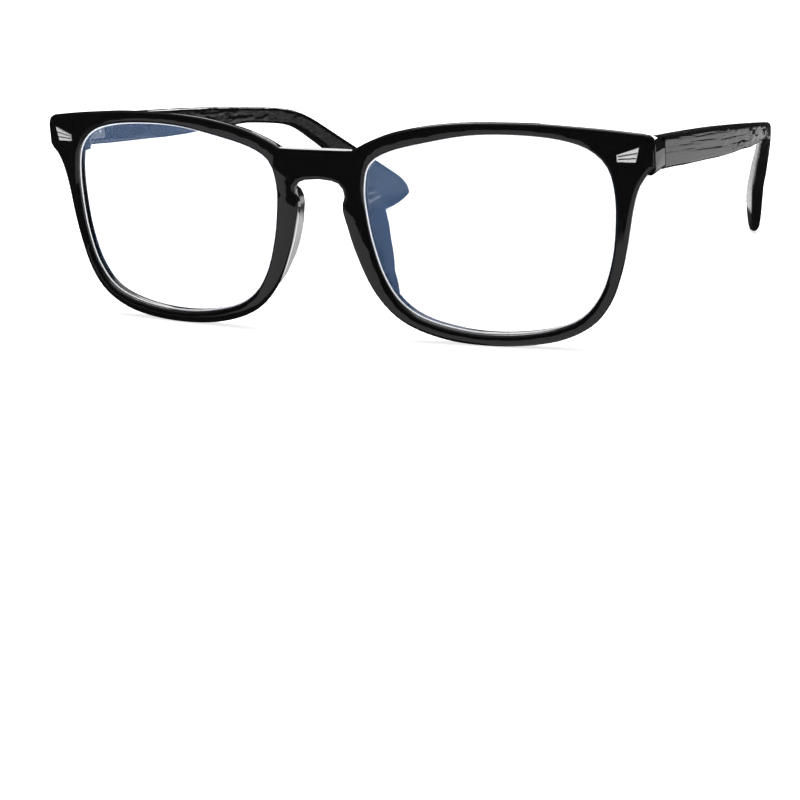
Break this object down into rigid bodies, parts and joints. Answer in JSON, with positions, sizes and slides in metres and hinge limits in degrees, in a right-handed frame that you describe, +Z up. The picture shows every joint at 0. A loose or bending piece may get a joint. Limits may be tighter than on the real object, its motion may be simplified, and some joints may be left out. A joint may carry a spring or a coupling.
{
  "type": "blue light glasses",
  "caption": "Full-rim square glasses with blue-reflecting clear lenses, a keyhole bridge, corner plaques and temples that fold on riveted barrel hinges.",
  "frame": {"origin": "centre of the bounding box in plan, on the table plane the glasses rest on", "axes": "+X to the right as seen from in front, which is the side the piece names call right; +Y from the front back to the temple tips; +Z up"},
  "size_m": [0.145, 0.1522, 0.0476],
  "materials": {
    "black_gloss_plastic": "polished black moulded plastic",
    "black_pad_plastic": "polished black moulded plastic, slightly softer sheen",
    "accent_silver": "bright silver-plated metal with two cut lines",
    "hinge_steel": "plain steel",
    "blue_coated_lens": "clear lens with a coating that reflects blue"
  },
  "bodies": {
    "front": {"front_frame": "black_gloss_plastic", "lens_right": "blue_coated_lens", "nose_pad_right": "black_pad_plastic", "accent_plaque_right": "accent_silver", "front_hinge_leaf_right": "hinge_steel", "hinge_screw_right": "hinge_steel", "front_rivet_lower_right": "hinge_steel", "front_rivet_upper_right": "hinge_steel", "lens_left": "blue_coated_lens", "nose_pad_left": "black_pad_plastic", "accent_plaque_left": "accent_silver", "front_hinge_leaf_left": "hinge_steel", "hinge_screw_left": "hinge_steel", "front_rivet_lower_left": "hinge_steel", "front_rivet_upper_left": "hinge_steel"},
    "temple_arm_right": {"temple_right": "black_gloss_plastic", "temple_hinge_leaf_right": "hinge_steel", "temple_rivet_near_right": "hinge_steel", "temple_rivet_far_right": "hinge_steel"},
    "temple_arm_left": {"temple_left": "black_gloss_plastic", "temple_hinge_leaf_left": "hinge_steel", "temple_rivet_near_left": "hinge_steel", "temple_rivet_far_left": "hinge_steel"}
  },
  "joints": [
    {"name": "temple_fold_right", "type": "hinge", "parent": "front", "child": "temple_arm_right", "pos_m": [0.0687, -0.06133, 0.04048], "axis": [0, -0.0495, 0.9988], "range_deg": [0, 84]},
    {"name": "temple_fold_left", "type": "hinge", "parent": "front", "child": "temple_arm_left", "pos_m": [-0.0687, -0.06133, 0.04048], "axis": [0, 0.0495, -0.9988], "range_deg": [0, 77]}
  ]
}
